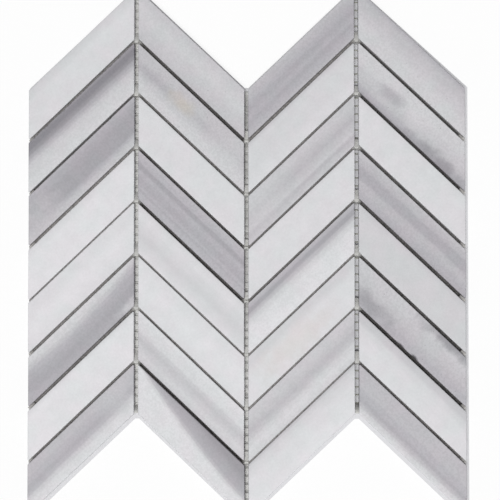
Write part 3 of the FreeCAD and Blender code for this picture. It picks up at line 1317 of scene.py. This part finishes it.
@dataclass
class JointAdhesive:
    """Adhesive that has risen from the net: beds, skins, and dabs where joints cross or end.

    A pair of lengths is the least and the most, and depths are measured down from the faces.

    Attributes:
        layout: Where the joints are.
        net: The net, whose weft parts the skins.
        skin_depth_mm: Depth of the skins on the net, at the foot and the head of each upright joint
            that has them.
        skin_spread_mm: How much a skin's depth varies.
        skin_gap_mm: Gap between one skin and the next, over a weft yarn.
        skin_setback_mm: How far from the joint's ends the skins end.
        skin_mm: How far the skins stand above the film on the yarns between them.
        film_depth_mm: Depth below which that film doesn't lie.
        crossing_depth_mm: Depth just above a crossing.
        valley_mm: How much deeper the adhesive lies where the chevron's valley is.
        arm_depth_mm: Depth in the other arms of a crossing.
        reach_mm: How far a crossing runs along the upright joint.
        side_reach_mm: How far it runs along the slanted joints.
        side_mm: How far above the bottom the arms in the slanted joints end.
        tail: Length of the arm above a crossing, in reaches.
        tail_mm: How far above the bottom that arm ends.
        tail_bend: How that arm's top falls.
        overlap_mm: How far the arms of a crossing run into each other.
        end_depth_mm: Depth of the plugs in the upright joints' ends.
        end_valleys: How much deeper they lie in the valley joint, in valleys, at the foot and head.
        end_mm: Length of these plugs.
        plug_depth_mm: Depth of the plugs in the slanted joints' ends.
        plug_fall_mm: How far these plugs fall towards their inner ends.
        plug_mm: Length of these plugs.
        setback_mm: How far inside the outline a plug starts.
        wetting_mm: How far the adhesive reaches into the stones, so that no gap shows.
        meniscus_mm: How much higher the top stands at the stones than between them.
        least_mm: Least height of adhesive above the net.
        lumps_mm: How far the top of an arm goes up and down.
        stations: Steps along an arm.
        voxel_mm: Size of the lumps that the arms are melted together with.
        ease: Share by which a round of smoothing eases the melted arms.
        ease_rounds: Rounds of smoothing.
        bed_swell_mm: How far a bed's height goes up and down.
        bed_waves: Waves of that for each mm, the long ones and the short ones.
        bed_ripple: Height of the short waves, as a share of the long ones.
        bed_step_mm: Spacing of the places along a bed.
    """

    layout: Layout
    net: BackingNet
    skin_depth_mm: tuple[Flat | None, ...] = ((6.5, 6.7), (7.6, 9.4), None)
    skin_spread_mm: float = 0.3
    skin_gap_mm: float = 1.3
    skin_setback_mm: float = 3.6
    skin_mm: float = 1.4
    film_depth_mm: float = 9.7
    crossing_depth_mm: Flat = (0.6, 1.5)
    valley_mm: float = 3.6
    arm_depth_mm: Flat = (1.1, 2.6)
    reach_mm: Flat = (1.53, 2.25)
    side_reach_mm: Flat = (1.26, 2.16)
    side_mm: float = 1.0
    tail: float = 3.2
    tail_mm: float = 3.5
    tail_bend: float = 1.3
    overlap_mm: float = 1.0
    end_depth_mm: Flat = (0.9, 1.9)
    end_valleys: Flat = (1.6, 2.2)
    end_mm: float = 6.48
    plug_depth_mm: Flat = (2.4, 4.0)
    plug_fall_mm: float = 2.0
    plug_mm: Flat = (2.88, 4.14)
    setback_mm: float = 0.3
    wetting_mm: float = 0.1
    meniscus_mm: float = 0.3
    least_mm: float = 0.5
    lumps_mm: float = 0.15
    stations: int = 6
    voxel_mm: float = 0.38
    ease: float = 0.5
    ease_rounds: int = 9
    bed_swell_mm: float = 0.9
    bed_waves: Flat = (0.08, 0.5)
    bed_ripple: float = 0.4
    bed_step_mm: float = 1.0

    def __post_init__(self) -> None:
        """Starts with no adhesive."""
        self.rng = random.Random(7)
        self.tubes = Tubes()
        self.bottom = self.layout.face - self.layout.base - self.least_mm

    def section(self, middle: Vector, across: Vector, top: float) -> list[Point]:
        """Gives a section of adhesive in a joint, with a hollow top.

        Args:
            middle: The middle of the joint.
            across: From there to the joint's side.
            top: Height of the top between the stones.

        Returns:
            Its corners.
        """
        low, edge = self.layout.base, top + self.meniscus_mm
        corners = ((-1, low), (1, low), (1, edge), (0, top), (-1, edge))
        return [(*(middle + across * side), height) for side, height in corners]

    def add_arm(
        self, start: Flat, end: Flat, half_width: float, depths: Flat, lumps: float, bend: float = 2.0
    ) -> None:
        """Adds a length of adhesive in a joint, whose top falls towards its end.

        Args:
            start: Where it starts, in mm.
            end: Where it ends.
            half_width: Half the joint's width.
            depths: Depth of the top below the faces, at the start and at the end.
            lumps: How far the top goes up and down.
            bend: How the top falls: 1 for a straight slope, and more for one that steepens.
        """
        along = Vector(end) - Vector(start)
        across = Vector((-along.y, along.x)).normalized() * (half_width + self.wetting_mm)
        sections = []
        for station in range(self.stations + 1):
            share = station / self.stations
            top = self.layout.face - depths[0] - (depths[1] - depths[0]) * share ** bend
            top += self.rng.uniform(-lumps, lumps)
            sections.append(self.section(Vector(start) + along * share, across, top))
        self.tubes.add(sections)

    def add_crossing(self, column: int, row: int) -> None:
        """Adds the adhesive where the joint on a column's right meets the slanted ones.

        Args:
            column: The column, from 0.
            row: The row under the slanted joints, from 0.
        """
        half_gap, lumps = self.layout.half_gap, self.lumps_mm
        x = self.layout.gap_x(column)
        y = self.layout.joint_at(row, x)
        lean = -1 if column % 2 == 0 else 1
        sunk = 0.0 if lean < 0 else self.valley_mm
        top = self.rng.uniform(*self.crossing_depth_mm) + sunk
        deep = self.rng.uniform(*self.arm_depth_mm) + sunk / 2
        reach = self.rng.uniform(*self.reach_mm)
        below, above = (x, y - self.overlap_mm), (x, y + self.overlap_mm)
        tail = (x, above[1] + self.tail * reach)
        self.add_arm(below, tail, half_gap, (top, self.bottom - self.tail_mm), lumps, self.tail_bend)
        self.add_arm(above, (x, y - reach), half_gap, (deep, self.bottom), lumps)
        for side in (-1, 1):
            run = half_gap + self.rng.uniform(*self.side_reach_mm)
            end = (x + side * run, y + lean * (run - half_gap) * math.tan(SLANT))
            start = (x + side * half_gap / 2, y - lean * half_gap / 2 * math.tan(SLANT))
            half_width = self.layout.joint(column + (side > 0), row).gap / 2
            self.add_arm(start, end, half_width, (deep, self.bottom - self.side_mm), lumps)

    def add_end(self, column: int, at_head: bool) -> None:
        """Adds a plug in the head or the foot of the upright joint on a column's right.

        Args:
            column: The column, from 0.
            at_head: True for the head.
        """
        x = self.layout.gap_x(column)
        foot = self.layout.foot_at(x)
        inward = -1 if at_head else 1
        outer = (foot + self.layout.height if at_head else foot) + inward * self.setback_mm
        inner = outer + inward * self.end_mm
        sunk = 0.0 if column % 2 == 0 else self.end_valleys[at_head] * self.valley_mm
        depth = self.rng.uniform(*self.end_depth_mm) + sunk
        self.add_arm((x, outer), (x, inner), self.layout.half_gap, (depth, self.bottom), self.lumps_mm)

    def add_side(self, row: int, at_right: bool) -> None:
        """Adds a plug in the end of a slanted joint, on a side of the sheet.

        Args:
            row: The row under the joint, from 0.
            at_right: True for the right side.
        """
        layout = self.layout
        inward = -1 if at_right else 1
        outer = (layout.right[-1] if at_right else layout.left[0]) + inward * self.setback_mm
        inner = outer + inward * self.rng.uniform(*self.plug_mm)
        depth = self.rng.uniform(*self.plug_depth_mm)
        start, end = ((x, layout.joint_at(row, x)) for x in (outer, inner))
        half_width = layout.joint(-1 if at_right else 0, row).gap / 2
        self.add_arm(start, end, half_width, (depth, depth + self.plug_fall_mm), self.lumps_mm)

    def add_skins(self, column: int, depths: Flat) -> None:
        """Adds skins of adhesive between the weft yarns, in the upright joint on a column's right.

        Args:
            column: The column, from 0.
            depths: Depth of the skins below the faces, at the foot and at the head.
        """
        layout, pitch = self.layout, self.net.weft_mm
        x = layout.gap_x(column)
        foot = layout.foot_at(x) + self.skin_setback_mm
        head = layout.foot_at(x) + layout.height - self.skin_setback_mm
        low, high = (depth + self.skin_mm for depth in depths)
        film = (low, min(high, self.film_depth_mm))
        self.add_arm((x, foot), (x, head), layout.half_gap, film, self.lumps_mm, bend=1.0)
        most = math.ceil(layout.height / pitch)
        for number in range(-most, most):
            start = number * pitch + self.net.bow(x) + self.skin_gap_mm / 2
            end = start + pitch - self.skin_gap_mm
            if start > foot and end < head:
                level = depths[0] + (depths[1] - depths[0]) * (start - foot) / (head - foot)
                level += self.rng.uniform(-self.skin_spread_mm, self.skin_spread_mm)
                self.add_arm((x, start), (x, end), layout.half_gap, (level, level), 0.0)

    def bed_top(self, joint: SlantJoint, x: float, y: float) -> float:
        """Gives the height of a bed's top.

        Args:
            joint: The joint that the bed lies in.
            x: Place across the sheet.
            y: Place up the sheet.

        Returns:
            Z in mm.
        """
        long, short = self.bed_waves
        swell = noise.noise((x * long, y * long, 3.0))
        swell += self.bed_ripple * noise.noise((x * short, y * short, 7.0))
        return self.layout.base + max(joint.bed + self.bed_swell_mm * swell, self.least_mm)

    def build_beds(self) -> Piece:
        """Makes the low beds of adhesive along the slanted joints.

        Returns:
            The piece, in place.
        """
        layout = self.layout
        beds = Tubes()
        count = math.ceil((layout.right[0] - layout.left[0]) / self.bed_step_mm)
        for column in range(COLUMNS):
            start = layout.left[column] + self.setback_mm
            end = layout.right[column] - self.setback_mm
            for row in range(ROWS - 1):
                joint = layout.joint(column, row)
                across = Vector((0.0, (joint.gap / 2 + self.wetting_mm) / math.cos(SLANT)))
                sections = []
                for station in range(count + 1):
                    x = start + (end - start) * station / count
                    y = layout.joint_at(row, x)
                    sections.append(self.section(Vector((x, y)), across, self.bed_top(joint, x, y)))
                beds.add(sections)
        piece = mesh_object("adhesive_along_joints", beds.points, beds.faces)
        piece.data.shade_smooth()
        return piece

    def build_crossings(self) -> Piece:
        """Makes the adhesive in the upright joints, at their ends and where they cross the others.

        Returns:
            The piece, in place.
        """
        for column, depths in enumerate(self.skin_depth_mm):
            for row in range(ROWS - 1):
                self.add_crossing(column, row)
            for at_head in (False, True):
                self.add_end(column, at_head)
            if depths is not None:
                self.add_skins(column, depths)
        return self.melted("adhesive_at_crossings")

    def build_sides(self) -> Piece:
        """Makes the plugs in the slanted joints' ends, on the sides of the sheet.

        Returns:
            The piece, in place.
        """
        for row in range(ROWS - 1):
            for at_right in (False, True):
                self.add_side(row, at_right)
        return self.melted("adhesive_at_sides")

    def melted(self, name: str) -> Piece:
        """Melts the arms added so far together, and starts afresh.

        Args:
            name: The piece's name.

        Returns:
            The piece, in place.
        """
        piece = mesh_object(name, self.tubes.points, self.tubes.faces)
        self.tubes = Tubes()
        melt = piece.modifiers.new("melt", "REMESH")
        melt.mode = "VOXEL"
        melt.voxel_size = self.voxel_mm * MM
        ease = piece.modifiers.new("ease", "SMOOTH")
        ease.factor = self.ease
        ease.iterations = self.ease_rounds
        graph = bpy.context.evaluated_depsgraph_get()
        melted = bpy.data.meshes.new_from_object(piece.evaluated_get(graph))
        piece.modifiers.clear()
        piece.data = melted
        piece.data.shade_smooth()
        return piece

    def dress(self, piece: Piece, finish: SetAdhesive) -> None:
        """Gives some of the adhesive its finish and hands it to the frame.

        Args:
            piece: The adhesive.
            finish: Its finish.
        """
        piece.data.materials.clear()
        piece.data.materials.append(finish.material())
        settle(piece, "adhesive_dabs")


@dataclass
class Studio:
    """A light table, soft light from the lower left, and a camera that looks down on the sheet.

    Attributes:
        layout: Where the stones are.
        level: Light on the faces, at which a colour shows about as it is written.
        key_azimuth_deg: Where the key light comes from, from the foot of the sheet to its left.
        key_elevation_deg: How high the key light stands.
        key_angle_deg: How wide the key light looks from the bench.
        ambient: Light from all round, as a share of the whole.
        white: Colour of the table.
        glow: How much of the table's white comes from below, where the camera sees it.
        card: Colour of the card under the sheet.
        card_over_mm: How far the card reaches beyond the sheet, at the left and right sides and at
            the foot and head. The stones' shadow shows on it.
        card_lift_mm: How far the card lies above the table.
        lip_mm: Height of the card's raised lip, which closes the gap under the outer stones.
        lip_under_mm: How far the lip reaches in under the stones.
        floor_half_m: Half the table's side.
        distance_mm: From the camera to the faces.
        frame_mm: What the picture takes in across the faces.
        aim_mm: The point on the faces in the middle of the picture.
        tilt_deg: Turns of the camera about X, Y and its own axis, from straight down.
        sensor_mm: Width of the camera's sensor.
    """

    layout: Layout
    level: float = 0.945
    key_azimuth_deg: float = 16.0
    key_elevation_deg: float = 75.0
    key_angle_deg: float = 20.0
    ambient: float = 0.36
    white: str = "fdfdfd"
    glow: float = 0.8
    card: str = "dcdcde"
    card_over_mm: tuple[float, ...] = (1.0, 2.7, 3.9, 2.2)
    card_lift_mm: float = 0.05
    lip_mm: float = 0.55
    lip_under_mm: float = 0.8
    floor_half_m: float = 4.0
    distance_mm: float = 1200.0
    frame_mm: float = 346.5
    aim_mm: Flat = (2.6, 0.8)
    tilt_deg: Point = (1.9, 1.55, -0.042)
    sensor_mm: float = 36.0

    def build(self) -> None:
        """Sets up the table, the lights, the camera and the plain view."""
        self.table()
        self.lay_card()
        self.world()
        self.key()
        self.camera()
        bpy.context.scene.view_settings.view_transform = "Standard"

    def table(self) -> None:
        """Lays the white table, whose glow from below the camera sees and the sheet doesn't."""
        half, low = self.floor_half_m / MM, -self.card_lift_mm
        corners = [(-half, -half, low), (half, -half, low), (half, half, low), (-half, half, low)]
        table = mesh_object("table", corners, [(0, 1, 2, 3)])
        made, tree = empty_material("opal_glass_lit")
        lit = add_node(tree, "BsdfDiffuse", {"Color": linear(self.white)})
        glow = add_node(tree, "Emission", {"Strength": 1.0})
        share = add_node(tree, "MapRange", {"Value": self.seen(tree), "To Max": self.glow})
        mixed = add_node(tree, "MixShader", {0: share, 1: lit, 2: glow})
        add_node(tree, "OutputMaterial", {"Surface": mixed})
        table.data.materials.append(made)

    def lay_card(self) -> None:
        """Lays an opaque card under the sheet, which keeps the table's glow out of the joints."""
        low = self.ring(self.card_over_mm, 0.0)
        high = self.ring(self.card_over_mm, self.lip_mm)
        inner = self.ring((-self.lip_under_mm,) * 4, self.lip_mm)
        count = len(low)
        ground = [(at, at + 1, count - 2 - at, count - 1 - at) for at in range(count // 2 - 1)]
        card = mesh_object("card", low + high + inner, ground + walls(0, count, 3))
        made, tree = empty_material("card_matt_grey")
        shader = add_node(tree, "BsdfDiffuse", {"Color": linear(self.card)})
        add_node(tree, "OutputMaterial", {"Surface": shader})
        card.data.materials.append(made)

    def ring(self, over_mm: tuple[float, ...], z: float) -> list[Point]:
        """Walks round the sheet's zigzag outline, some way outside it.

        Args:
            over_mm: How far outside, at the left and right sides and at the foot and head.
            z: Height above the bench.

        Returns:
            The corners, along the foot to the right and back along the head.
        """
        layout = self.layout
        over_left, over_right, over_foot, over_head = over_mm
        sides = [x for column in range(COLUMNS) for x in (layout.left[column], layout.right[column])]
        ends = {0: (-1, over_left), len(sides) - 1: (1, over_right)}
        foot: list[Point] = []
        head: list[Point] = []
        for number, x in enumerate(sides):
            side, over = ends.get(number, (0, 0.0))
            y = layout.foot_at(x)
            foot.append((x + side * over, y - over_foot - over * math.tan(SLANT), z))
            head.insert(0, (x + side * over, y + layout.height + over_head, z))
        return foot + head

    def seen(self, tree: Tree) -> Socket:
        """Tells the rays that show the background from the ones that light the sheet.

        Args:
            tree: The node tree to add to.

        Returns:
            1 for the camera's own rays and for ones in gloss and glass, and 0 for the others.
        """
        rays = add_node(tree, "LightPath").node.outputs
        sockets = {0: rays["Is Camera Ray"], 1: rays["Is Glossy Ray"]}
        direct = add_node(tree, "Math", sockets, operation="MAXIMUM")
        return add_node(tree, "Math", {0: direct, 1: rays["Is Transmission Ray"]}, operation="MAXIMUM")

    def world(self) -> None:
        """Lights the sheet evenly from all round, and shows white where rays leave the scene."""
        world = bpy.data.worlds.new("studio")
        world.use_nodes = True
        tree = world.node_tree
        tree.nodes.clear()
        sockets = {"Value": self.seen(tree), "To Min": self.level * self.ambient, "To Max": 1.0}
        strength = add_node(tree, "MapRange", sockets)
        light = add_node(tree, "Background", {"Color": (1.0, 1.0, 1.0, 1.0), "Strength": strength})
        add_node(tree, "OutputWorld", {"Surface": light})
        bpy.context.scene.world = world

    def key(self) -> None:
        """Hangs the key light, at the strength that brings the faces to the level."""
        lamp = bpy.data.lights.new("key", "SUN")
        lamp.angle = math.radians(self.key_angle_deg)
        height = math.radians(self.key_elevation_deg)
        lamp.energy = math.pi * self.level * (1 - self.ambient) / math.sin(height)
        azimuth = math.radians(self.key_azimuth_deg)
        travel = Vector((
            math.sin(azimuth) * math.cos(height),
            math.cos(azimuth) * math.cos(height),
            -math.sin(height),
        ))
        made = bpy.data.objects.new("key", lamp)
        made.rotation_euler = travel.to_track_quat("-Z", "Y").to_euler()
        made.location = -travel
        bpy.context.scene.collection.objects.link(made)

    def camera(self) -> None:
        """Sets the camera almost straight above the sheet."""
        lens = bpy.data.cameras.new("camera")
        lens.sensor_width = self.sensor_mm
        lens.lens = self.sensor_mm * self.distance_mm / self.frame_mm
        about_x, about_y, roll = (math.radians(turn) for turn in self.tilt_deg)
        tilted = Matrix.Rotation(about_y, 4, "Y") @ Matrix.Rotation(about_x, 4, "X")
        turned = tilted @ Matrix.Rotation(roll, 4, "Z")
        aim = Vector((*self.aim_mm, self.layout.face)) * MM
        back = turned @ Vector((0.0, 0.0, self.distance_mm * MM))
        made = bpy.data.objects.new("camera", lens)
        made.matrix_world = Matrix.Translation(aim + back) @ turned
        bpy.context.scene.collection.objects.link(made)
        bpy.context.scene.camera = made


def main() -> None:
    """Builds and dresses every piece, sets up the studio and notes the sizes."""
    logging.basicConfig(level=logging.INFO, format="%(message)s")
    layout = Layout()
    for column in layout.stones:
        for stone in column:
            stone.dress(stone.build())
    net = BackingNet(layout)
    for along_x in (False, True):
        net.dress(net.build(along_x), along_x)
    adhesive = JointAdhesive(layout, net)
    # White adhesive at the crossings, ends and skins, with painted shade towards the bottom.
    white = SetAdhesive(joint_shade=0.74, joint_shade_mm=(1.2, 2.6))
    adhesive.dress(adhesive.build_crossings(), white)
    # A greyer copy of the adhesive for the plugs at the sides: the grey is painted shade.
    dusty = SetAdhesive("adhesive_grey_painted_shade", clear="b6b4b1", dusty="a4a29f", roughness=0.6)
    adhesive.dress(adhesive.build_sides(), dusty)
    # A darker, matt copy for the beds in the slanted joints: its darkness is partly a stain and partly
    # painted shade, with more painted shade towards the bottom.
    stained_and_shaded = SetAdhesive("adhesive_stained_and_shaded_set", clear="989593", dusty="7b7876", roughness=0.7, joint_shade=0.45)
    adhesive.dress(adhesive.build_beds(), stained_and_shaded)
    Studio(layout).build()


if __name__ == "__main__":
    main()
